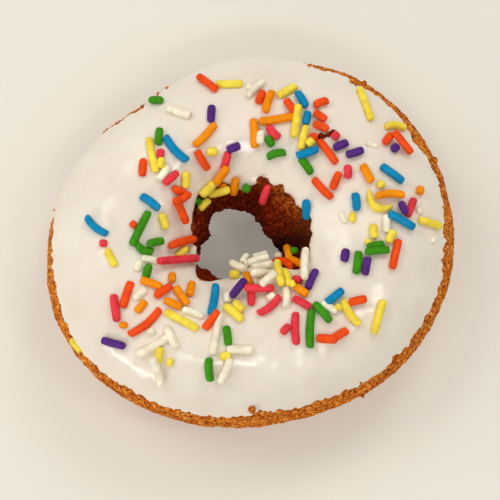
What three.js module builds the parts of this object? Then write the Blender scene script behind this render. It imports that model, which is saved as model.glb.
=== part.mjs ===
// A frosted cake doughnut lying flat: a fried dough ring with a layer of icing over its top.
// Millimetres, +Z up, +X along the longer way across. The underside rests on z = 0 and the
// origin is under the middle of the doughnut.
import * as THREE from "three";
import { mergeVertices } from "three/addons/utils/BufferGeometryUtils.js";

const DEGREE = Math.PI / 180;

// Dough ring, seen from above. Angles turn anticlockwise from +X.
const OUTER_RADIUS = 40.8; // mean distance from the axis to the outer side
const OVAL = { depth: 2.4, angle: 21 * DEGREE }; // the ring is longer along this angle
const LOBES = { depth: 0.6, angle: -42 * DEGREE }; // three slight corners, one of them here
const HOLE_RADIUS = 8.7; // mean, at the narrowest height of the hole
const HOLE_SHIFT = { distance: 2.8, angle: 190 * DEGREE }; // the hole sits off the middle
// Knuckles of dough that swelled into the hole while frying.
const KNUCKLES = [
  { angle: 45 * DEGREE, spread: 46 * DEGREE, height: 2.4 },
  { angle: 275 * DEGREE, spread: 36 * DEGREE, height: 3 },
];

// Dough ring, in section.
const BELLY_HEIGHT = 14; // height of the widest place
const RISE = 15.2; // from the widest place up to the top
const SAG = 15; // from the widest place down to where a round underside would end
const TOP_SWELL = { height: 0.8, angle: 200 * DEGREE }; // the top is this much higher here

// Icing.
const ICING_THICKNESS = 1.7; // with the sprinkles that stand in it
const ICING_GAP = 0.4; // clearance that keeps the two solids apart
const ICING_RIM_RADIUS = 13.1; // mean, where the icing ends inside the hole
const ICING_RIM_SHIFT = { distance: 1.8, angle: 270 * DEGREE };
const ICING_RIM_OVAL = { depth: 0.8, angle: 0 };
// Here the icing ran down over a knuckle, this much further into the hole.
const ICING_TONGUE = { angle: 278 * DEGREE, spread: 30 * DEGREE, reach: 6.5 };
// How far up the outer side the icing stops, in degrees of the section above its widest
// place, at every 30 degrees round the ring.
const ICING_EDGE = [38, 41, 38, 10, 12, 8, 34, 33, 30, 28, 29, 33];

// Facets.
const BLANK = { radius: 2, tube: 1 }; // the plain torus that both pieces are shaped from
const RING_STEPS = 84;
const DOUGH_SECTION_STEPS = 30;
const ICING_SECTION_STEPS = 26;
const NORMAL_STEP = 0.5 * DEGREE; // step along the surface that a normal is found from

// The angle from -180 to 180 degrees.
function wrapped(angle) {
  return Math.atan2(Math.sin(angle), Math.cos(angle));
}

function outerRadius(angle) {
  const oval = OVAL.depth * Math.cos(2 * (angle - OVAL.angle));
  const lobes = LOBES.depth * Math.cos(3 * (angle - LOBES.angle));
  return OUTER_RADIUS + oval + lobes;
}

function holeRadius(angle) {
  let radius = HOLE_RADIUS + HOLE_SHIFT.distance * Math.cos(angle - HOLE_SHIFT.angle);
  for (const knuckle of KNUCKLES) {
    const away = wrapped(angle - knuckle.angle) / knuckle.spread;
    radius -= knuckle.height * Math.exp(-away * away);
  }
  return radius;
}

// Middle and half width of the dough's section at an angle round the ring.
function section(angle) {
  const outer = outerRadius(angle);
  const inner = holeRadius(angle);
  return { middle: (outer + inner) / 2, half: (outer - inner) / 2 };
}

// A point on the dough. Turn is 0 on the outer side, 90 degrees on top and 180 in the hole.
function doughPoint(angle, turn) {
  const { middle, half } = section(angle);
  const radius = middle + half * Math.cos(turn);
  const swell = TOP_SWELL.height * Math.cos((angle - TOP_SWELL.angle) / 2) ** 2;
  const reach = Math.sin(turn) > 0 ? RISE + swell : SAG;
  const height = Math.max(0, BELLY_HEIGHT + reach * Math.sin(turn));
  return new THREE.Vector3(radius * Math.cos(angle), radius * Math.sin(angle), height);
}

// The dough's outward direction at a point, from two short steps along its surface.
function doughNormal(angle, turn) {
  const round = doughPoint(angle + NORMAL_STEP, turn).sub(doughPoint(angle - NORMAL_STEP, turn));
  const over = doughPoint(angle, turn + NORMAL_STEP).sub(doughPoint(angle, turn - NORMAL_STEP));
  return round.cross(over).normalize();
}

// The icing's outer edge as a turn of the section, on a smooth closed curve through its values.
const edgeCurve = new THREE.CatmullRomCurve3(
  ICING_EDGE.map((turn) => new THREE.Vector3(turn * DEGREE, 0, 0)),
  true,
  "catmullrom",
);

function icingOuterTurn(angle) {
  const share = angle / (2 * Math.PI);
  return edgeCurve.getPoint(share - Math.floor(share)).x;
}

// The icing's edge in the hole, as the turn where the section comes in to the rim's radius.
function icingInnerTurn(angle) {
  const { middle, half } = section(angle);
  const shift = ICING_RIM_SHIFT.distance * Math.cos(angle - ICING_RIM_SHIFT.angle);
  const away = wrapped(angle - ICING_TONGUE.angle) / ICING_TONGUE.spread;
  const oval = ICING_RIM_OVAL.depth * Math.cos(2 * (angle - ICING_RIM_OVAL.angle));
  const tongue = ICING_TONGUE.reach * Math.exp(-away * away);
  const rim = ICING_RIM_RADIUS + shift + oval - tongue;
  return Math.acos((rim - middle) / half);
}

// A point on the icing's skin. Round runs from 0 at the outer edge over the top to 180
// degrees at the edge in the hole, and back to 360 along the underside.
function icingPoint(angle, round) {
  const outer = icingOuterTurn(angle);
  const inner = icingInnerTurn(angle);
  const turn = outer + ((inner - outer) * (1 - Math.cos(round))) / 2;
  const bulge = Math.sign(Math.sin(round)) * Math.sqrt(Math.abs(Math.sin(round)));
  const lift = ICING_GAP + (ICING_THICKNESS * (1 + bulge)) / 2;
  return doughPoint(angle, turn).addScaledVector(doughNormal(angle, turn), lift);
}

// A closed ring whose vertices a function places from their angle round the ring and round
// the section.
function shapedRing(sectionSteps, place) {
  const ring = new THREE.TorusGeometry(BLANK.radius, BLANK.tube, sectionSteps, RING_STEPS);
  ring.deleteAttribute("normal");
  ring.deleteAttribute("uv");
  const merged = mergeVertices(ring);
  const position = merged.getAttribute("position");
  for (let i = 0; i < position.count; i++) {
    const vertex = new THREE.Vector3().fromBufferAttribute(position, i);
    const angle = Math.atan2(vertex.y, vertex.x);
    const round = Math.atan2(vertex.z, Math.hypot(vertex.x, vertex.y) - BLANK.radius);
    position.setXYZ(i, ...place(angle, round));
  }
  merged.computeVertexNormals();
  return merged;
}

const doughRing = new THREE.Mesh(
  shapedRing(DOUGH_SECTION_STEPS, doughPoint),
  new THREE.MeshStandardMaterial({ color: 0xb3661f, roughness: 0.8, metalness: 0 }),
);
doughRing.name = "dough_ring";

const icing = new THREE.Mesh(
  shapedRing(ICING_SECTION_STEPS, icingPoint),
  new THREE.MeshStandardMaterial({ color: 0xefe4d4, roughness: 0.3, metalness: 0 }),
);
icing.name = "icing";

const doughnut = new THREE.Group();
doughnut.add(doughRing, icing);

// The group's middle goes over the origin and its underside onto z = 0.
const extent = new THREE.Box3().setFromObject(doughnut);
const middle = extent.getCenter(new THREE.Vector3());
for (const piece of doughnut.children) piece.position.set(-middle.x, -middle.y, -extent.min.z);

export default doughnut;
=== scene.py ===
import math
import random

import bmesh
import bpy
from mathutils import Matrix, Vector, noise
from mathutils.bvhtree import BVHTree


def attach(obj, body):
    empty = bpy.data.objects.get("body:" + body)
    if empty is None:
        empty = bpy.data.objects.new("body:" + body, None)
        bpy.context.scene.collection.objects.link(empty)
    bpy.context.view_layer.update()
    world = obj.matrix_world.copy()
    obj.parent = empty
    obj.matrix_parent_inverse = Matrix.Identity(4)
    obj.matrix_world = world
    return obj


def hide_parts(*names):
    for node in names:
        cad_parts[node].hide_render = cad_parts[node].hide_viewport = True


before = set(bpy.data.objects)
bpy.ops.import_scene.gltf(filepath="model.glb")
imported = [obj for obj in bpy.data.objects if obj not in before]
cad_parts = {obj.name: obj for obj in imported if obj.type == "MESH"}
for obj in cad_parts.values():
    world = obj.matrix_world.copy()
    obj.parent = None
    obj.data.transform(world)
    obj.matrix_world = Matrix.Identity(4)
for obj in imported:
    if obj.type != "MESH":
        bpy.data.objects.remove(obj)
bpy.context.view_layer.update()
mm = 0.001
print("frame loaded")


# ---- shared helpers


def wrapped(angle):
    return math.atan2(math.sin(angle), math.cos(angle))


def hump(angle, middle, spread):  # 1 at the middle, fading to both sides, angles in degrees
    away = math.degrees(wrapped(angle - math.radians(middle))) / spread
    return math.exp(-away * away)


def smoothRound(values, angle):  # a smooth closed curve through values evenly spread round the ring
    place = (angle / math.tau) % 1 * len(values)
    i = int(place)
    t = place - i
    a, b, c, d = (values[(i + k) % len(values)] for k in (-1, 0, 1, 2))
    return b + 0.5 * t * (c - a + t * (2 * a - 5 * b + 4 * c - d + t * (3 * (b - c) + d - a)))


def fbm(point, size, octaves=3):  # noise from about -1 to 1, size in metres
    return noise.fractal(point / size, 0.6, 2.1, octaves, noise_basis="PERLIN_ORIGINAL")


blankRadius = 2 * mm  # of the plain ring that the dough and the icing are shaped from


def spunRing(sectionSteps, ringSteps):  # a plain closed ring, its section a circle
    bm = bmesh.new()
    section = bmesh.ops.create_circle(bm, segments=sectionSteps, radius=blankRadius / 2)["verts"]
    bmesh.ops.rotate(bm, verts=section, matrix=Matrix.Rotation(math.pi / 2, 3, "X"))
    bmesh.ops.translate(bm, verts=section, vec=(blankRadius, 0, 0))
    bmesh.ops.spin(bm, geom=bm.verts[:] + bm.edges[:], axis=(0, 0, 1), cent=(0, 0, 0),
                   steps=ringSteps, angle=math.tau, use_merge=True)
    bmesh.ops.remove_doubles(bm, verts=bm.verts[:], dist=0.001 * mm)
    return bm


def ringPlace(v):  # where a point of the plain ring lies, round the ring and round its section
    angle = math.atan2(v.co.y, v.co.x)
    around = math.atan2(v.co.z, math.hypot(v.co.x, v.co.y) - blankRadius) % math.tau
    return angle, around


def finishPiece(bm, name, material):
    bmesh.ops.recalc_face_normals(bm, faces=bm.faces[:])
    for face in bm.faces:
        face.smooth = True
    mesh = bpy.data.meshes.new(name)
    bm.to_mesh(mesh)
    bm.free()
    piece = bpy.data.objects.new(name, mesh)
    bpy.context.scene.collection.objects.link(piece)
    mesh.materials.append(material)
    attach(piece, "root")
    print(name, "made,", len(mesh.polygons), "faces")
    return piece


def newMaterial(name):
    material = bpy.data.materials.new(name)
    material.use_nodes = True
    nodes = material.node_tree.nodes
    return material, nodes, material.node_tree.links, nodes["Principled BSDF"]


def addNode(nodes, kind, **sockets):
    node = nodes.new(kind)
    for key, value in sockets.items():
        node.inputs[key].default_value = value
    return node


def attribute(nodes, name):  # the value that the mesh carries under this name
    node = nodes.new("ShaderNodeAttribute")
    node.attribute_name = name
    return node.outputs["Fac"]


def mixed(nodes, blend="MIX"):
    node = nodes.new("ShaderNodeMix")
    node.data_type = "RGBA"
    node.blend_type = blend
    return node


def colourRamp(nodes, stops):  # stops are (position, colour)
    ramp = nodes.new("ShaderNodeValToRGB")
    points = ramp.color_ramp.elements
    while len(points) < len(stops):
        points.new(0.5)
    for point, (position, colour) in zip(points, stops):
        point.position = position
        point.color = (*colour, 1)
    return ramp


# ---- the dough ring

dough = {
    "outerRadius": 40.8 * mm,  # mean, from the axis to the outer side
    "oval": (2.4 * mm, 21),  # longer along this angle, in degrees from +X
    "lobes": (0.6 * mm, -42),
    "holeRadius": 8.7 * mm,
    "holeShift": (2.8 * mm, 190),
    "knuckles": [  # angle, spread, height
        (45, 46, 2.4 * mm), (70, 22, 0.6 * mm), (131, 12, -0.7 * mm), (166, 12, 1.6 * mm),
        (199, 13, -1.2 * mm), (278, 32, 4.7 * mm),
    ],
    "swells": [(58, 16, 0.6 * mm), (195, 14, 0.3 * mm), (292, 16, -0.45 * mm)],  # of the outer side
    "bellyHeight": 14 * mm,
    "rise": 15.2 * mm,
    "sag": 15 * mm,
    "topSwell": (0.8 * mm, 200),
    "sectionSteps": 150,
    "ringSteps": 560,
    "sideDensity": 0.3,  # crowds the section's steps onto the outer side and the hole's wall
    "lumps": (0.30 * mm, 7 * mm),  # depth and size of the unevenness
    "crumb": (0.20 * mm, 1.5 * mm),
    "grain": (0.22 * mm, 0.65 * mm),
    "tears": (0.75 * mm, 2.4 * mm),  # only in the hole, where the crumb is torn
    "foot": (0.15, 3 * mm),  # towards the floor the unevenness fades to this share, within this height
    "holeDarkening": 1.6,  # how soon the hole's wall turns to its darker colours, browner from frying and darker with painted shade
    "shadePainted": (350, 28),  # angle and spread of painted shade on the hole's wall, where it is darkest; the next two lines give its strength and its nearly black colour
    "shadePaintedShare": 0.95,
    "shadePaintedColour": (0.025, 0.004, 0.001),
    "axis": Vector((0.44, -1.10, 0)) * mm,  # where the ring's axis stands
    # colours of the crust, from the pits to the high spots of its grain
    "sideColours": [
        (0.38, (0.13, 0.019, 0.002)),
        (0.46, (0.52, 0.105, 0.005)),
        (0.55, (0.82, 0.235, 0.011)),
        (0.64, (0.98, 0.56, 0.12)),
    ],
    "deepColours": [  # in the hole: browner from frying, and darker still as painted shade of the hole
        (0.34, (0.03, 0.003, 0.0005)),
        (0.48, (0.15, 0.011, 0.0005)),
        (0.60, (0.30, 0.028, 0.001)),
        (0.72, (0.55, 0.15, 0.04)),
    ],
    "patchiness": 0.8,
}


def doughSection(angle):  # middle and half width of the ring's section
    outer = dough["outerRadius"]
    outer += dough["oval"][0] * math.cos(2 * (angle - math.radians(dough["oval"][1])))
    outer += dough["lobes"][0] * math.cos(3 * (angle - math.radians(dough["lobes"][1])))
    for middle, spread, height in dough["swells"]:
        outer += height * hump(angle, middle, spread)
    inner = dough["holeRadius"]
    inner += dough["holeShift"][0] * math.cos(angle - math.radians(dough["holeShift"][1]))
    for middle, spread, height in dough["knuckles"]:
        inner -= height * hump(angle, middle, spread)
    return (outer + inner) / 2, (outer - inner) / 2


def doughPoint(angle, turn):  # turn is 0 on the outer side, a quarter on top and a half in the hole
    middle, half = doughSection(angle)
    radius = middle + half * math.cos(turn)
    swell = dough["topSwell"][0] * math.cos((angle - math.radians(dough["topSwell"][1])) / 2) ** 2
    reach = dough["rise"] + swell if math.sin(turn) > 0 else dough["sag"]
    height = max(0, dough["bellyHeight"] + reach * math.sin(turn))
    return Vector((radius * math.cos(angle), radius * math.sin(angle), height))


def doughNormal(angle, turn):
    step = 0.01
    along = doughPoint(angle + step, turn) - doughPoint(angle - step, turn)
    over = doughPoint(angle, turn + step) - doughPoint(angle, turn - step)
    return along.cross(over).normalized()


def makeDoughMaterial():
    material, nodes, links, shader = newMaterial("friedCrust")
    coord = nodes.new("ShaderNodeTexCoord")
    fine = addNode(nodes, "ShaderNodeTexNoise", Scale=1500, Detail=5, Roughness=0.68)
    coarse = addNode(nodes, "ShaderNodeTexNoise", Scale=330, Detail=4, Roughness=0.6)
    links.new(coord.outputs["Object"], fine.inputs["Vector"])
    links.new(coord.outputs["Object"], coarse.inputs["Vector"])
    side = colourRamp(nodes, dough["sideColours"])
    deep = colourRamp(nodes, dough["deepColours"])
    links.new(fine.outputs["Fac"], side.inputs["Fac"])
    links.new(fine.outputs["Fac"], deep.inputs["Fac"])
    # the hole's darker colours are partly real browning from frying and partly painted shade
    crust = mixed(nodes)
    links.new(attribute(nodes, "browningAndShade"), crust.inputs["Factor"])
    links.new(side.outputs["Color"], crust.inputs["A"])
    links.new(deep.outputs["Color"], crust.inputs["B"])
    # painted shade: the hole's wall goes nearly black on one side, where it lies in shade
    dark = mixed(nodes)
    dark.inputs["B"].default_value = (*dough["shadePaintedColour"], 1)
    links.new(attribute(nodes, "shadePaint"), dark.inputs["Factor"])
    links.new(crust.outputs["Result"], dark.inputs["A"])
    tone = colourRamp(nodes, [(0.35, (0.72, 0.66, 0.6)), (0.65, (1.1, 1.1, 1.1))])
    links.new(coarse.outputs["Fac"], tone.inputs["Fac"])
    patch = mixed(nodes, "MULTIPLY")
    patch.inputs["Factor"].default_value = dough["patchiness"]
    links.new(dark.outputs["Result"], patch.inputs["A"])
    links.new(tone.outputs["Color"], patch.inputs["B"])
    links.new(patch.outputs["Result"], shader.inputs["Base Color"])
    bump = addNode(nodes, "ShaderNodeBump", Strength=0.6, Distance=0.25 * mm)
    links.new(fine.outputs["Fac"], bump.inputs["Height"])
    links.new(bump.outputs["Normal"], shader.inputs["Normal"])
    shader.inputs["Roughness"].default_value = 0.8
    shader.inputs["Specular IOR Level"].default_value = 0.08
    return material


def makeDough():
    bm = spunRing(dough["sectionSteps"], dough["ringSteps"])
    browningAndShade = bm.verts.layers.float.new("browningAndShade")
    shadePaint = bm.verts.layers.float.new("shadePaint")

    def place(angle, around):
        turn = around + dough["sideDensity"] * math.sin(2 * (around - math.pi / 2))
        point = doughPoint(angle, turn)
        normal = doughNormal(angle, turn)
        rough = dough["lumps"][0] * fbm(point, dough["lumps"][1], 2)
        rough += dough["crumb"][0] * fbm(point, dough["crumb"][1], 3)
        rough -= dough["grain"][0] * abs(fbm(point, dough["grain"][1], 2))
        inside = max(0, -math.cos(around))
        rough += inside * dough["tears"][0] * fbm(point, dough["tears"][1], 3)
        point += normal * rough * min(1, dough["foot"][0] + point.z / dough["foot"][1])
        point.z = max(0, point.z)
        return point

    for v in bm.verts:
        angle, around = ringPlace(v)
        inside = max(0, -math.cos(around))
        # inside the hole the colour turns browner from frying and darker with painted shade
        v[browningAndShade] = min(1, dough["holeDarkening"] * inside)
        # painted shade: nearly black on one side of the hole's wall
        v[shadePaint] = dough["shadePaintedShare"] * min(1, 2 * inside) * hump(angle, *dough["shadePainted"])
        v.co = place(angle, around)
    return finishPiece(bm, "doughCrust", makeDoughMaterial())


# ---- the icing

icing = {
    "thickness": 1.2 * mm,
    "sunk": 0.3 * mm,  # its underside lies this far inside the crust, so no gap shows
    "lip": 0.8 * mm,  # rounding of its edges
    # where its outer edge stops, in degrees of the section above the widest place, every 15 degrees
    "edge": [35, 33, 38, 35, 39, 34, 11, 18, 36, 41, 25, 19,
             32, 35, 29, 27.5, 27, 26, 28, 27.5, 27.5, 28, 30, 31],
    # radius of its edge in the hole, every 15 degrees
    "rim": [r * mm for r in
            [12.2, 12.3, 10.8, 10.8, 10.8, 11.2, 10.8, 10.7, 12.9, 13.2, 14.0, 13.4,
             13.4, 13.0, 14.0, 15.0, 11.8, 7.2, 5.2, 5.1, 7.0, 12.0, 12.8, 12.3]],
    "ragged": (3.2, 2.0 * mm),  # depth in degrees of the section, and size, of the outer edge's waviness
    "raggedRim": (0.5 * mm, 3.2 * mm),
    "ripple": (0.26 * mm, 10 * mm),
    "fineRipple": (0.07 * mm, 4 * mm),
    "thinEdge": 1.5 * mm,  # this close to the hole the crust shows through
    "sectionSteps": 200,
    "ringSteps": 400,
    "upperShare": 0.75,  # share of the section's steps on the upper skin
    "colours": [(0.3, (0.80, 0.715, 0.60)), (0.7, (0.86, 0.785, 0.68))],
    "thinColour": (0.50, 0.27, 0.12),
    "thinShare": 0.6,
    "gloss": 0.19,  # its roughness
}


def icingSpan(angle):  # the section's turns at its outer edge and at its edge in the hole
    middle, half = doughSection(angle)
    rimAt = Vector((math.cos(angle), math.sin(angle), 0)) * 14 * mm
    rim = smoothRound(icing["rim"], angle) + icing["raggedRim"][0] * fbm(rimAt, icing["raggedRim"][1], 2)
    inner = math.acos(max(-1, (rim - middle) / half))
    edgeAt = Vector((math.cos(angle), math.sin(angle), 0.5)) * dough["outerRadius"]
    ragged = icing["ragged"][0] * fbm(edgeAt, icing["ragged"][1], 3)
    outer = math.radians(smoothRound(icing["edge"], angle) + ragged)
    return outer, inner


def icingSurface(angle, share, lift):  # share runs from 0 at the outer edge to 1 in the hole
    outer, inner = icingSpan(angle)
    turn = outer + (inner - outer) * share
    return doughPoint(angle, turn) + doughNormal(angle, turn) * lift


def makeIcingMaterial():
    material, nodes, links, shader = newMaterial("sugarIcing")
    coord = nodes.new("ShaderNodeTexCoord")
    cloud = addNode(nodes, "ShaderNodeTexNoise", Scale=90, Detail=3, Roughness=0.5)
    fine = addNode(nodes, "ShaderNodeTexNoise", Scale=700, Detail=3, Roughness=0.5)
    links.new(coord.outputs["Object"], cloud.inputs["Vector"])
    links.new(coord.outputs["Object"], fine.inputs["Vector"])
    tone = colourRamp(nodes, icing["colours"])
    links.new(cloud.outputs["Fac"], tone.inputs["Fac"])
    mix = mixed(nodes)
    mix.inputs["B"].default_value = (*icing["thinColour"], 1)
    links.new(attribute(nodes, "thin"), mix.inputs["Factor"])
    links.new(tone.outputs["Color"], mix.inputs["A"])
    links.new(mix.outputs["Result"], shader.inputs["Base Color"])
    bump = addNode(nodes, "ShaderNodeBump", Strength=0.08, Distance=0.1 * mm)
    links.new(fine.outputs["Fac"], bump.inputs["Height"])
    links.new(bump.outputs["Normal"], shader.inputs["Normal"])
    shader.inputs["Roughness"].default_value = icing["gloss"]
    shader.inputs["Specular IOR Level"].default_value = 0.5
    shader.inputs["Subsurface Weight"].default_value = 0.25
    shader.inputs["Subsurface Radius"].default_value = (1.0, 0.7, 0.5)
    shader.inputs["Subsurface Scale"].default_value = 0.9 * mm
    return material


def makeIcing():
    bm = spunRing(icing["sectionSteps"], icing["ringSteps"])
    split = icing["upperShare"] * math.tau

    def place(angle, around):
        upper = around <= split
        along = around / split if upper else 1 - (around - split) / (math.tau - split)
        sweep = math.pi * along
        share = (1 - math.cos(sweep)) / 2
        outer, inner = icingSpan(angle)
        if not upper:
            return icingSurface(angle, share, -icing["sunk"])
        half = doughSection(angle)[1]
        fromEdge = half * (inner - outer) * min(share, 1 - share) / icing["lip"]
        rounding = math.sqrt(max(0, 1 - (1 - min(1, fromEdge)) ** 2))
        lift = -icing["sunk"] + (icing["thickness"] + icing["sunk"]) * rounding
        point = icingSurface(angle, share, lift)
        ripple = icing["ripple"][0] * fbm(point, icing["ripple"][1], 2)
        ripple += icing["fineRipple"][0] * fbm(point, icing["fineRipple"][1], 2)
        return point + doughNormal(angle, outer + (inner - outer) * share) * ripple * rounding

    thin = bm.verts.layers.float.new("thin")
    for v in bm.verts:
        angle, around = ringPlace(v)
        v.co = place(angle, around)
        outer, inner = icingSpan(angle)
        half = doughSection(angle)[1]
        sweep = min(1, around / split) * math.pi
        toRim = half * (inner - outer) * (1 + math.cos(sweep)) / 2
        spread = icing["thinEdge"] * (1 + 0.5 * fbm(v.co, 3 * mm, 2))
        v[thin] = icing["thinShare"] * max(0, 1 - toRim / spread)
    return finishPiece(bm, "icingLayer", makeIcingMaterial())


# ---- the sprinkles

sprinkles = {
    "colours": {
        "Red": ((0.9, 0.08, 0.005), "sprinkle_red"),
        "Orange": ((1.0, 0.29, 0.0), "sprinkle_orange"),
        "Yellow": ((1.0, 0.74, 0.07), "sprinkle_yellow"),
        "Green": ((0.045, 0.275, 0.004), "sprinkle_green"),
        "Blue": ((0.0, 0.25, 0.5), "sprinkle_blue"),
        "Purple": ((0.095, 0.022, 0.215), "sprinkle_purple"),
        "Pink": ((0.83, 0.045, 0.062), "sprinkle_pink"),
        "White": ((1.0, 0.87, 0.67), "sprinkle_white"),
    },
    "radius": 0.945 * mm,
    "radiusSpread": 0.05,
    "bendSpread": 0.035,  # as a share of the length
    "segments": (8, 10),
    "press": 0.12 * mm,  # how far each one settles into the icing
    "clear": 0.8,  # those whose heights are given stay this share of their radius off the wall
    "touch": 0.94,  # two that cross come this close, as a share of their radii
    "mostLift": 1.9 * mm,
    "tilt": 0.35,  # share of a lift that the far end takes
    "crown": (32.2 * mm, 0.24),  # above this height the pile is pressed together by this much
    "seed": 31,
}

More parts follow.
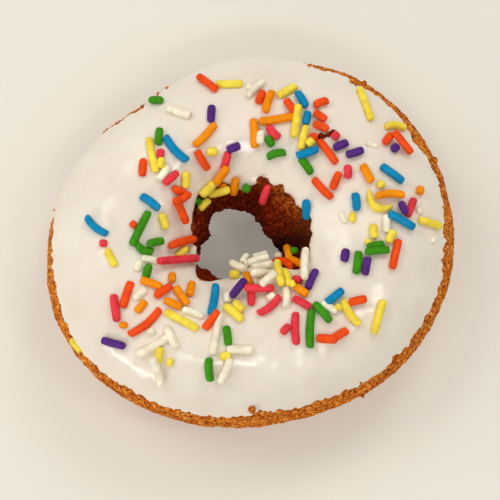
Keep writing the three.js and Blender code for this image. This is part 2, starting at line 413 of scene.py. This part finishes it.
# each line is a colour, the two ends in plan in mm, then any of: bend in mm, sink in mm, radius in mm,
# and the heights of the two ends; those lower in the pile come first
laid = """
White -0.9 28.9 0.6 28.6 0 0.52 0.8
White -0.7 26.3 2.7 30.2 0 0.65 0.8
Yellow -7.2 29.3 -1.6 29.1 0 0.12
Red -10.9 31.5 -7.0 27.5
Green -20.9 26.4 -17.8 25.8
White -17.0 23.9 -12.2 21.9 0 0.2
Purple -8.0 24.2 -8.2 20.6
Orange -7.2 20.4 -11.8 15.8
Green -18.5 19.3 -18.8 15.6
Blue -17.6 17.7 -13.0 12.7 -0.5
Yellow -20.7 17.3 -19.4 10.1 0 0.12
Pink -18.5 14.6 -18.5 13.4
Yellow -18.3 13.2 -18.3 10.9 0 0.16
Red -21.8 13.0 -22.1 9.2
Yellow -9.2 14.8 -6.8 15.0 0 0.12
Red -11.3 15.1 -8.8 11.5
White -16.8 11.7 -18.9 8.6 0 0.39
Pink -15.1 10.5 -17.9 7.6
Yellow -13.5 10.9 -13.7 7.4 0 0.12
Pink -4.6 15.2 -5.9 11.7
Purple -5.0 15.3 -2.2 16.4
Blue -22.5 5.2 -18.7 2.4 0.3
Red -16.4 7.3 -12.6 6.0
Red -13.0 5.9 -16.2 3.6
Red -15.9 4.8 -13.5 0.2
Yellow -18.5 1.9 -17.6 -1.4 0 0.08
Orange 0.5 21.5 0.8 15.6
White 2.1 19.0 2.0 16.1
Green 3.2 17.9 4.5 15.8
Pink 3.4 19.9 5.8 17.3 0 0.1 0.95
Green 3.3 13.8 7.2 14.6 0.3
Yellow 5.5 26.2 9.4 28.7 0 0.16
Red 2.4 27.5 1.4 24.5 0 0.1 0.95
Orange 4.5 27.4 2.9 22.6 -0.3
Orange 1.7 20.8 9.0 22.0
Red 7.0 25.4 8.9 22.4
Yellow 9.7 24.2 8.6 17.4 0 0.08
Blue 9.4 27.3 11.3 23.7 0.2
Blue 11.6 23.0 11.1 20.2
Yellow 11.3 20.1 10.2 15.0
Red 12.3 17.6 13.2 17.6
Yellow 11.7 16.1 12.5 16.8 0 0 0.95
Red 12.8 24.1 15.9 25.4 0.2
Red 12.8 22.9 15.4 21.1
Red 12.6 20.5 15.9 19.1
Pink 16.8 17.4 17.6 18.2 0 0 0.98
Red 13.7 17.0 17.5 12.0
Purple 16.8 15.0 19.9 16.4
Purple 19.3 13.7 22.9 14.9
Green 10.2 13.5 12.5 10.0
Blue 9.3 13.7 13.8 15.1
Red 18.1 10.3 16.6 6.5
Red 12.8 9.2 16.7 4.9
Pink 19.6 11.7 19.8 8.8 0 0.1 0.98
Yellow 22.3 29.4 24.6 21.5 0 0.14
Yellow 27.3 20.4 31.9 20.7 0.7 0.18
Red 28.8 18.9 27.0 16.3
Red 28.9 18.9 32.7 14.7
Purple 28.9 15.3 29.7 16.1 0 0 0.95
Orange 22.6 11.7 24.5 7.9
Blue 26.3 11.6 30.8 8.3
Yellow 25.9 7.3 26.7 7.8 0 0.12 0.9
Orange 34.5 7.8 34.0 6.1
White 23.4 16.6 26.0 16.0 0 0.65 0.8
Blue 21.1 5.8 21.4 2.0
Yellow 23.8 6.4 28.7 3.0 -2.3 0.1
Orange 25.0 4.8 31.0 5.3 0.4
Pink 33.0 5.1 31.5 1.0
Purple 30.2 4.1 31.1 1.1
White 27.4 1.4 27.3 -2.4 0 0.33
Blue 27.7 1.5 32.9 -1.3
Yellow 33.6 0.7 38.7 0.0 0 0.16
White 33.6 3.4 34.6 2.1 0 0.45 0.7
White 37.5 -2.0 36.7 -3.5 0 0.45 0.7
White 18.2 2.2 19.2 -0.4 0 0.65 0.7
Yellow 20.6 1.8 20.5 -0.3 0 0.2 0.8
Yellow 24.6 -0.7 24.9 -3.8 0 0.1 0.98
Yellow 28.8 -1.9 27.5 -4.7 0 0.1
Yellow 23.3 -4.0 24.0 -4.8 0 0.16 0.75
Green 23.3 -5.6 26.8 -4.7 0 0.12 0.8
Green 22.8 -6.7 27.8 -6.1 0 0 0.95
Red 29.7 -3.7 28.2 -9.9 0.1
Purple 19.4 -5.8 18.9 -8.6 0 0 1.0
Green 21.7 -6.4 21.1 -11.2
Purple 23.6 -7.6 22.8 -11.4 0 0 0.95
Blue -33.1 1.0 -28.8 -3.0 -0.6
Pink -30.2 -4.8 -29.0 -4.8 0 0.1 0.9
Yellow -28.9 -5.9 -27.1 -9.6 0 0.12
Red -24.1 -0.6 -23.5 -1.2 0 0.1 0.82
White -22.2 -7.6 -17.9 -8.5 0 0.52
White -22.4 -8.3 -23.1 -10.6 0 0.59
Green -23.4 -4.8 -19.9 -6.3 -0.6
Green -21.3 -5.2 -18.0 -3.8
Green -20.8 2.0 -24.1 -5.3
White -12.4 -3.1 -12.6 -6.0 0 0.26
Yellow -13.7 -4.1 -15.4 -7.0 0 0.12
Red -11.9 -1.6 -17.2 -5.0 -0.4
Pink -19.2 -8.8 -11.0 -6.8 0 0 0.92
Green -20.7 -9.1 -21.3 -12.2
Orange -22.3 -12.3 -18.0 -14.0
Red -15.9 -13.6 -19.4 -16.0
Orange -16.1 -10.6 -16.1 -12.9 0 0.1 0.92
White -21.0 -14.1 -23.5 -16.3 0 0.39
Orange -21.1 -16.5 -23.0 -18.9 0 0.1 0.98
Pink -27.4 -15.1 -26.4 -20.7
Red -24.0 -12.6 -25.5 -18.0 -0.2
Orange -26.2 -21.3 -24.5 -21.3 0 0.16 0.8
Red -18.1 -18.2 -24.3 -23.3 0.4
Purple -29.7 -23.7 -24.8 -25.3 0.15
Orange -15.4 -13.7 -12.7 -17.5
Orange -17.5 -16.4 -13.9 -18.1
Orange -12.1 -12.5 -12.4 -15.7
White -13.8 -18.3 -9.4 -19.9 0 0.59
Yellow -17.3 -18.7 -10.5 -22.4 0 0.12
White -20.6 -23.3 -19.2 -22.4 0 0.33 0.85
White -16.4 -23.8 -22.8 -27.1 0 0.45
White -16.9 -21.8 -14.7 -26.2 0 0.52
Yellow -17.9 -25.7 -18.3 -28.9 0 0.16 0.95
Yellow -16.0 -28.2 -16.1 -29.2 0 0.2 0.75
White -19.5 -27.9 -17.8 -33.1 0 0.45
White -6.2 -19.1 -7.6 -27.5 0 0.26
Blue -7.2 -12.9 -8.1 -19.8
Red -6.6 -18.8 -9.4 -22.5
Green -5.0 -21.7 -4.5 -25.7
Green -8.3 -27.8 -8.0 -32.2 -0.2
Yellow -6.2 -27.9 -4.0 -27.4 0 0.12
White -4.0 -28.2 -6.3 -32.9 0 0.45
White -4.9 -26.4 0.5 -26.5 0 0.39
Yellow -5.4 -17.6 -1.6 -20.6 0 0.12 0.98
Yellow -3.4 -16.8 -1.3 -18.7 0 0.08
White -5.0 -14.5 -4.6 -17.0 0 0.52
White 0.8 -12.8 2.2 -12.0 0 0.2
Orange -0.5 -10.2 -0.3 -13.7 0 0 1.0
Pink 0.0 -14.4 0.1 -17.8
Pink -1.3 -14.4 4.8 -14.2
Purple -0.9 -12.4 -3.9 -16.2
White 3.6 -16.3 4.7 -15.5 0 0.2
Pink 5.9 -15.7 1.3 -19.4 0.7
White 7.0 -13.6 7.0 -18.0 0 0.2
Pink 8.4 -11.9 10.4 -12.5 0 0 0.92
Pink 8.3 -16.1 12.0 -18.1 0 0 0.95
Orange 8.6 -13.7 11.4 -15.6 0 0 1.0
Pink 8.9 -18.8 9.0 -25.4
Pink 6.0 -23.2 7.8 -21.5 0 0 0.95
White 14.1 -16.8 17.2 -18.9 0 0.33
Green 12.5 -17.1 15.9 -20.8
Green 12.2 -18.3 11.7 -25.9
Blue 15.0 -17.2 18.4 -14.3 0 0 0.95
Yellow 17.1 -17.9 17.9 -17.9 0 0.16 0.75
Yellow 18.3 -16.3 21.6 -21.3 -0.3 0.08 0.95
Red 19.5 -17.0 23.1 -16.0 0 0 0.95
Red 15.8 -24.4 19.3 -22.2
Red 12.9 -23.9 17.2 -24.3 0 0 1.05
Yellow 26.5 -16.0 24.4 -22.8 0 0.14
Yellow -36.7 -22.4 -34.4 -24.8 0 0 1.0 21.5 21.5
Orange -4.6 12.0 -7.7 9.5 0 0 1.0
Yellow -7.9 9.9 -10.9 6.8 0 0 1.0
Orange -6.8 8.8 -4.9 9.1 0 0 0.9 23.6 23.8
Yellow -9.2 7.5 -4.2 8.1 0 0 0.95 24.2 24.8
Orange -3.0 11.1 -3.6 7.4 0 0 0.92 25.3 23.8
Green -1.1 9.4 -0.2 8.9 0 0 0.98 24.2 24.2
Green -10.8 6.7 -10.9 5.4 0 0 0.85 24 24
Yellow -8.5 6.4 -10.7 4.2 0 0 0.92 23.6 23.4
Pink 4.1 9.2 2.5 5.8 0 0 0.98 25.6 22.2
Blue 11.6 5.2 11.9 1.4 0 0 0.98
Green 9.9 -5.3 10.7 -5.6 0 0 0.85 22.5 22.5
White -0.6 -4.7 -2.0 -7.0 0 0 0.85 21.6 22.2
White 3.3 -4.9 0.6 -6.5 0 0 0.88 21.6 22.3
White 6.3 -4.7 5.1 -5.5 0 0 1.0 20.6 20.9
White -4.4 -6.4 -0.7 -9.2 0 0 1.0 22.3 23.8
White -0.9 -7.1 0.0 -7.6 0 0 0.8 22.6 22.8
White 3.7 -6.8 -0.4 -7.7 0 0 0.92 23.4 23.6
Red 4.5 -6.1 8.4 -9.1 0.7 0 0.95 22.2 25.4
White 4.5 -8.3 0.4 -9.5 0 0 0.98 25.4 25.6
White 3.5 -10.6 0.2 -11.4 0 0 0.98
Yellow -4.2 -10.0 -2.0 -10.7 0 0 1.0
Yellow 6.9 -9.8 7.7 -14.0 0 0 0.88
Yellow 5.3 -7.9 6.2 -14.1 0 0 0.92
White 5.0 -11.1 2.0 -14.0 0 0 0.98
Yellow 8.0 -12.8 8.7 -14.0 0 0 0.7
Orange 8.1 -2.9 8.6 -7.0 0 0 0.95 21 23.2
Orange 8.4 -6.4 11.3 -8.6 0 0 0.95 23 26
Purple 13.4 -10.0 11.4 -14.3 0 0 0.9
White 11.9 -5.0 10.9 -12.5 0 0 0.95
"""


def surfaceUnder(tree, x, y, height):  # the place and normal of the surface at a spot in plan
    if height is None:
        place, normal = tree.ray_cast(Vector((x, y, 60)) * mm, Vector((0, 0, -1)))[:2]
        if place is not None and place.z > 12 * mm:
            return place, normal
        height = 20
    return tree.find_nearest(Vector((x, y, height)) * mm)[:2]


def heldClear(tree, spot, radius):  # a spot given with its height is only moved when it is too deep
    place, normal = tree.find_nearest(spot)[:2]
    least = sprinkles["clear"] * radius
    if (spot - place).dot(normal) < least:
        return place + normal * least
    return spot


def nearestOfTwo(a, b, c, d):  # how near two rods come, the share along a-b, and the place on each
    best = None
    for i in range(9):
        p = a.lerp(b, i / 8)
        t = min(1, max(0, (p - c).dot(d - c) / (d - c).length_squared))
        q = c.lerp(d, t)
        if best is None or (p - q).length < best[0]:
            best = ((p - q).length, i / 8, p, q)
    return best


def liftOver(a, b, radius, other):  # raises the ends of a rod until it clears one laid before it
    for attempt in range(3):
        away, share, p, q = nearestOfTwo(a, b, other["a"], other["b"])
        need = (radius + other["radius"]) * sprinkles["touch"]
        if away >= need:
            break
        flat = math.hypot(p.x - q.x, p.y - q.y)
        lift = q.z + math.sqrt(max(0, need * need - flat * flat)) - p.z
        lift = min(max(lift, 0), sprinkles["mostLift"])
        near = max(share, 1 - share)
        most = lift / (sprinkles["tilt"] * (1 - near) + near)
        a.z += most if share < 0.5 else sprinkles["tilt"] * most
        b.z += most if share >= 0.5 else sprinkles["tilt"] * most


def pressTogether(rods):
    crown, share = sprinkles["crown"]
    for rod in rods:
        for end in (rod["a"], rod["b"]):
            over = end.z + rod["radius"] - crown
            end.z -= max(0, over) * (1 - share)


def restSprinkles(tree):  # each one lies on the icing or on those laid before it
    chance = random.Random(sprinkles["seed"])
    rods = []
    for line in laid.strip().split("\n"):
        colour, *words = line.split()
        x1, y1, x2, y2, *more = (float(w) for w in words)
        bend = more[0] if len(more) > 0 else 0
        sink = more[1] * mm if len(more) > 1 else 0
        radius = more[2] * mm if len(more) > 2 else sprinkles["radius"]
        heights = more[3:5] if len(more) > 4 else (None, None)
        radius *= 1 + chance.uniform(-1, 1) * sprinkles["radiusSpread"]
        long = math.hypot(x2 - x1, y2 - y1)
        bend += long * chance.uniform(-1, 1) * sprinkles["bendSpread"]
        inset = min(radius / mm, 0.45 * long)
        ends = []
        for (x, y, tx, ty), height in zip(((x1, y1, x2, y2), (x2, y2, x1, y1)), heights):
            x += (tx - x) / long * inset
            y += (ty - y) / long * inset
            if height is None:
                place, normal = surfaceUnder(tree, x, y, height)
                ends.append(place + normal * (radius - sink - sprinkles["press"]))
            else:
                ends.append(heldClear(tree, Vector((x, y, height)) * mm, radius))
        a, b = ends
        if heights[0] is None:
            for other in rods:
                liftOver(a, b, radius, other)
        rod = {"colour": colour, "a": a, "b": b, "radius": radius}
        rods.append({**rod, "bend": bend * mm, "inset": inset * mm})
    pressTogether(rods)
    return rods


def addRod(bm, rod, chance):  # a blunt-ended rod between two points, the blank a plain sphere
    across, along = sprinkles["segments"]
    verts = bmesh.ops.create_uvsphere(bm, u_segments=across, v_segments=along, radius=1)["verts"]
    axis = rod["b"] - rod["a"]
    half = max(axis.length / 2 + rod["inset"], 0.95 * rod["radius"])
    forward = axis.normalized()
    left = Vector((0, 0, 1)).cross(forward).normalized()
    up = forward.cross(left)
    middle = (rod["a"] + rod["b"]) / 2
    radius = rod["radius"]
    cap = min(0.55 * radius, 0.4 * half)
    blunt = [chance.uniform(0.7, 1.3) for end in range(2)]
    wide = [1, 1, 0.98, 0.86, 0.55, 0]  # from the middle ring of the blank to its pole
    for v in verts:
        latitude = math.asin(max(-1, min(1, v.co.z)))
        sign = 1 if latitude >= 0 else -1
        capHere = cap * blunt[0 if sign > 0 else 1]
        reach = [0, 0.5 * (half - capHere), half - capHere, half - 0.42 * capHere, half - 0.1 * capHere, half]
        step = min(5, round(abs(latitude) / math.pi * along))
        spin = math.atan2(v.co.y, v.co.x)
        thick = radius * wide[step] * (1 + chance.uniform(-0.035, 0.035))
        s = sign * reach[step]
        bow = rod["bend"] * (1 - (s / half) ** 2)
        v.co = middle + forward * s + left * (bow + thick * math.cos(spin)) + up * (thick * math.sin(spin))


def makeSprinkleMaterial(colour, tint):
    material, nodes, links, shader = newMaterial("sugar" + colour)
    coord = nodes.new("ShaderNodeTexCoord")
    patch = addNode(nodes, "ShaderNodeTexNoise", Scale=520, Detail=3, Roughness=0.55)
    fine = addNode(nodes, "ShaderNodeTexNoise", Scale=2600, Detail=3, Roughness=0.6)
    links.new(coord.outputs["Object"], patch.inputs["Vector"])
    links.new(coord.outputs["Object"], fine.inputs["Vector"])
    darker = tuple(c * 0.78 for c in tint)
    lighter = tuple(min(1, c * 1.1 + 0.004) for c in tint)
    tone = colourRamp(nodes, [(0.3, darker), (0.7, lighter)])
    links.new(patch.outputs["Fac"], tone.inputs["Fac"])
    links.new(tone.outputs["Color"], shader.inputs["Base Color"])
    bump = addNode(nodes, "ShaderNodeBump", Strength=0.25, Distance=0.06 * mm)
    links.new(fine.outputs["Fac"], bump.inputs["Height"])
    links.new(bump.outputs["Normal"], shader.inputs["Normal"])
    shader.inputs["Roughness"].default_value = 0.4
    shader.inputs["Specular IOR Level"].default_value = 0.13
    shader.inputs["Subsurface Weight"].default_value = 0.12
    shader.inputs["Subsurface Radius"].default_value = (1.0, 0.6, 0.4)
    shader.inputs["Subsurface Scale"].default_value = 0.4 * mm
    return material


def makeSprinkles(tree):
    rods = restSprinkles(tree)
    chance = random.Random(sprinkles["seed"] + 1)
    for colour, (tint, slot) in sprinkles["colours"].items():
        bm = bmesh.new()
        count = 0
        for rod in rods:
            if rod["colour"] == colour:
                addRod(bm, rod, chance)
                count += 1
        piece = finishPiece(bm, "sprinkles" + colour, makeSprinkleMaterial(colour, tint))
        smooth = piece.modifiers.new("smooth", "SUBSURF")
        smooth.levels = 1
        smooth.render_levels = 1
        print(count, colour)
    print(len(rods), "sprinkles laid")


# ---- crumbs and flakes of the crust

crumbs = {
    "knobs": [  # the torn lip of the hole: place and radius in mm, and how far its colour goes towards the hole's darker colours
        (2.1, 9.5, 26.9, 1.05, 0.9), (3.1, 9.6, 26.6, 0.85, 0.9), (3.9, 9.0, 25.8, 0.9, 0.85),
        (5.3, 8.3, 26.2, 0.95, 0.75), (6.2, 8.1, 26.5, 1.1, 0.7), (6.9, 7.3, 25.8, 0.8, 0.65),
        (9.3, 4.7, 24.2, 0.8, 0.6), (-12.6, 0.2, 24.4, 0.7, 0.9), (-10.9, 3.9, 23.0, 0.6, 0.9),
        (0.2, -6.3, 22.6, 0.5, 0.9), (7.3, -6.8, 20.5, 1.0, 1), (9.6, -8.9, 23.6, 1.0, 1),
    ],
    "loose": [  # those lying on top: plan place, radius, and how far its colour goes towards the hole's darker colours
        (14.3, 17.9, 0.68, 1), (14.9, 17.9, 0.5, 1), (15.4, 18.1, 0.42, 1),
        (15.9, 18.3, 0.45, 1), (16.4, 18.7, 0.5, 1), (16.9, 19.0, 0.5, 1),
        (38.3, 15.8, 0.6, 0), (24.0, 32.8, 0.45, 0), (23.0, -33.0, 0.5, 0), (0.2, -37.2, 1.1, 0.2),
    ],
    "knobSteps": 24,
    "looseSteps": 16,
    "flakeSteps": 8,
    "edgeFlakes": 210,
    "edgeSize": (0.18 * mm, 0.5 * mm),
    "edgeLowest": 22,  # none where the icing comes lower than this, in degrees
    "backLowest": 13,  # and this much more at the back
    "seed": 7,
}


def addCrumb(bm, browningAndShade, place, radius, brown, chance, steps):
    verts = bmesh.ops.create_uvsphere(bm, u_segments=steps, v_segments=steps * 3 // 4, radius=radius)["verts"]
    turn = Matrix.Rotation(chance.uniform(0, math.tau), 3, (chance.random(), chance.random(), 1))
    stretch = Vector([chance.uniform(0.7, 1.3) for axis in range(3)])
    for v in verts:
        v.co = turn @ (v.co * stretch) + place
        v.co += (v.co - place) * 0.35 * fbm(v.co, 0.7 * radius, 2)
        v[browningAndShade] = brown


def makeCrumbs(tree, material):
    chance = random.Random(crumbs["seed"])
    bm = bmesh.new()
    browningAndShade = bm.verts.layers.float.new("browningAndShade")
    for x, y, height, radius, brown in crumbs["knobs"]:
        spot = heldClear(tree, Vector((x, y, height)) * mm, 0.2 * radius * mm)
        addCrumb(bm, browningAndShade, spot, radius * mm, brown, chance, crumbs["knobSteps"])
    for x, y, radius, brown in crumbs["loose"]:
        place, normal = surfaceUnder(tree, x, y, None)
        spot = place + normal * 0.4 * radius * mm
        addCrumb(bm, browningAndShade, spot, radius * mm, brown, chance, crumbs["looseSteps"])
    for i in range(crumbs["edgeFlakes"]):
        angle = chance.uniform(0, math.tau)
        turn = icingSpan(angle)[0] + math.radians(chance.uniform(-3, 3))
        least, most = crumbs["edgeSize"]
        radius = least + (most - least) * chance.random() ** 2
        spot = doughPoint(angle, turn) + doughNormal(angle, turn) * mm + dough["axis"]
        place, normal = tree.find_nearest(spot)[:2]
        if smoothRound(icing["edge"], angle) > crumbs["edgeLowest"] + crumbs["backLowest"] * math.sin(angle):
            spot = place + normal * 0.2 * radius
            addCrumb(bm, browningAndShade, spot, radius, chance.uniform(0, 0.35), chance, crumbs["flakeSteps"])
    return finishPiece(bm, "crumbs", material)


# ---- camera, lights and floor

studio = {
    "aim": Vector((-0.2, -2.4, 15)) * mm,
    "elevation": 77,
    "distance": 400 * mm,
    "frameWidth": 105 * mm,  # what the camera takes in at the aim
    "floorSize": 3,
    "floorColour": (0.60, 0.57, 0.50),
    "floorGlow": 0.22,  # the pale floor is lit a little from below, so shadows on it stay soft
    "glowColour": (1, 0.95, 0.82),
    "skyColour": (1, 0.98, 0.95),
    "skyStrength": 0.45,
    "lightDistance": 0.9,
    "lightColour": (1, 0.99, 0.97),
    "lights": [  # name, direction, size in metres, watts, and whether it shines back off the icing
        ("windowLeft", (-0.60, 0.28, 0.75), (0.5, 0.5), 1.75, False),
        ("windowBack", (0.28, 0.55, 0.78), (0.3, 0.3), 1.75, False),
        ("paneLeft", (-0.42, 0.29, 0.86), (0.3, 0.2), 0.5, True),
        ("boxRight", (0.42, -0.13, 0.88), (0.12, 0.14), 0.6, True),
        ("boxFront", (0.03, -0.52, 0.85), (0.27, 0.08), 1.1, True),
        ("boxLow", (-0.61, -0.71, 0.29), (0.42, 0.09), 1.6, True),
    ],
}


def makeCamera():
    camera = bpy.data.objects.new("camera", bpy.data.cameras.new("camera"))
    bpy.context.scene.collection.objects.link(camera)
    tilt = math.radians(studio["elevation"])
    back = Vector((0, -math.cos(tilt), math.sin(tilt)))
    camera.location = studio["aim"] + back * studio["distance"]
    camera.rotation_euler = (-back).to_track_quat("-Z", "Y").to_euler()
    camera.data.lens = camera.data.sensor_width * studio["distance"] / studio["frameWidth"]
    camera.data.clip_start = 10 * mm
    bpy.context.scene.camera = camera


def makeLight(name, toward, distance, size, watts, colour, shines):
    data = bpy.data.lights.new(name, "AREA")
    data.shape = "RECTANGLE"
    data.size, data.size_y = size
    data.energy = watts
    data.color = colour
    light = bpy.data.objects.new(name, data)
    bpy.context.scene.collection.objects.link(light)
    direction = Vector(toward).normalized()
    light.location = studio["aim"] + direction * distance
    light.rotation_euler = (-direction).to_track_quat("-Z", "Y").to_euler()
    light.visible_glossy = shines


def makeStudio():
    bm = bmesh.new()
    bmesh.ops.create_grid(bm, x_segments=2, y_segments=2, size=studio["floorSize"] / 2)
    mesh = bpy.data.meshes.new("floor")
    bm.to_mesh(mesh)
    bm.free()
    floor = bpy.data.objects.new("floor", mesh)
    bpy.context.scene.collection.objects.link(floor)
    material, nodes, links, shader = newMaterial("paleFloor")
    shader.inputs["Base Color"].default_value = (*studio["floorColour"], 1)
    shader.inputs["Roughness"].default_value = 0.6
    shader.inputs["Emission Color"].default_value = (*studio["glowColour"], 1)
    shader.inputs["Emission Strength"].default_value = studio["floorGlow"]
    mesh.materials.append(material)
    world = bpy.data.worlds.new("studio")
    bpy.context.scene.world = world
    world.use_nodes = True
    sky = world.node_tree.nodes["Background"]
    sky.inputs["Color"].default_value = (*studio["skyColour"], 1)
    sky.inputs["Strength"].default_value = studio["skyStrength"]
    for name, toward, size, watts, shines in studio["lights"]:
        makeLight(name, toward, studio["lightDistance"], size, watts, studio["lightColour"], shines)
    bpy.context.scene.view_settings.view_transform = "Standard"


makeCamera()
makeStudio()
crust = makeDough()
layer = makeIcing()

for piece in (crust, layer):
    piece.data.transform(Matrix.Translation(dough["axis"]))

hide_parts("dough_ring")
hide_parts("icing")

ground = bmesh.new()
for piece in (crust, layer):
    ground.from_mesh(piece.data)
tree = BVHTree.FromBMesh(ground)
ground.free()
makeSprinkles(tree)
makeCrumbs(tree, crust.data.materials[0])
